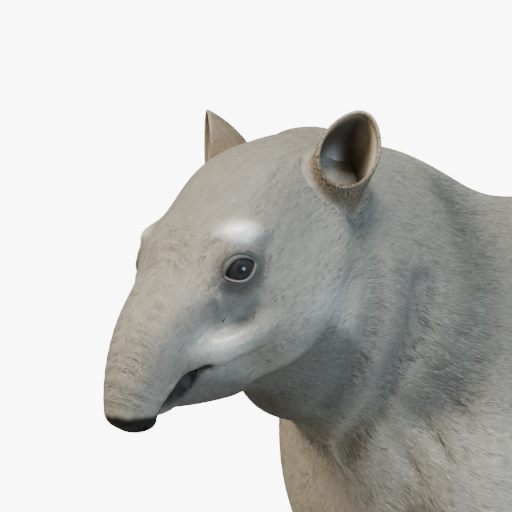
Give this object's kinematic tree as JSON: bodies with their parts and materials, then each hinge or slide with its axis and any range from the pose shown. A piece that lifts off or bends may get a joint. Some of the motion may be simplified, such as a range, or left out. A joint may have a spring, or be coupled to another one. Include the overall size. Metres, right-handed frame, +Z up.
{
  "type": "malayan tapir",
  "caption": "Life-size malayan tapir standing squarely on its feet, head forward, a still museum model with ears, eyes and hooves apart.",
  "frame": {"origin": "middle of the animal's box, on the floor between its feet", "axes": "+Z up, the animal faces -Y, its left side at +X"},
  "size_m": [0.5426, 1.9225, 1.1095],
  "materials": {
    "skin": "grey-brown skin under short, flat hair, with a soft sheen",
    "saddle": "skin under short, flat, pale grey hair",
    "ear_skin": "dark skin with a pale, softly haired rim",
    "eye": "wet, dark brown",
    "hoof": "dark horn, satin and ridged"
  },
  "bodies": {
    "root": {"head": "skin", "proboscis": "skin", "lower_jaw": "skin", "neck": "skin", "torso": "saddle", "tail": "saddle", "ear_left": "ear_skin", "eye_left": "eye", "foreleg_left_upper": "skin", "foreleg_left_lower": "skin", "forefoot_left": "skin", "forehoof_left_middle": "hoof", "forehoof_left_inner": "hoof", "forehoof_left_outer": "hoof", "forehoof_left_side": "hoof", "hindleg_left_upper": "skin", "hindleg_left_lower": "skin", "hindfoot_left": "skin", "hindhoof_left_middle": "hoof", "hindhoof_left_inner": "hoof", "hindhoof_left_outer": "hoof", "ear_right": "ear_skin", "eye_right": "eye", "foreleg_right_upper": "skin", "foreleg_right_lower": "skin", "forefoot_right": "skin", "forehoof_right_middle": "hoof", "forehoof_right_inner": "hoof", "forehoof_right_outer": "hoof", "forehoof_right_side": "hoof", "hindleg_right_upper": "skin", "hindleg_right_lower": "skin", "hindfoot_right": "skin", "hindhoof_right_middle": "hoof", "hindhoof_right_inner": "hoof", "hindhoof_right_outer": "hoof"}
  },
  "joints": []
}
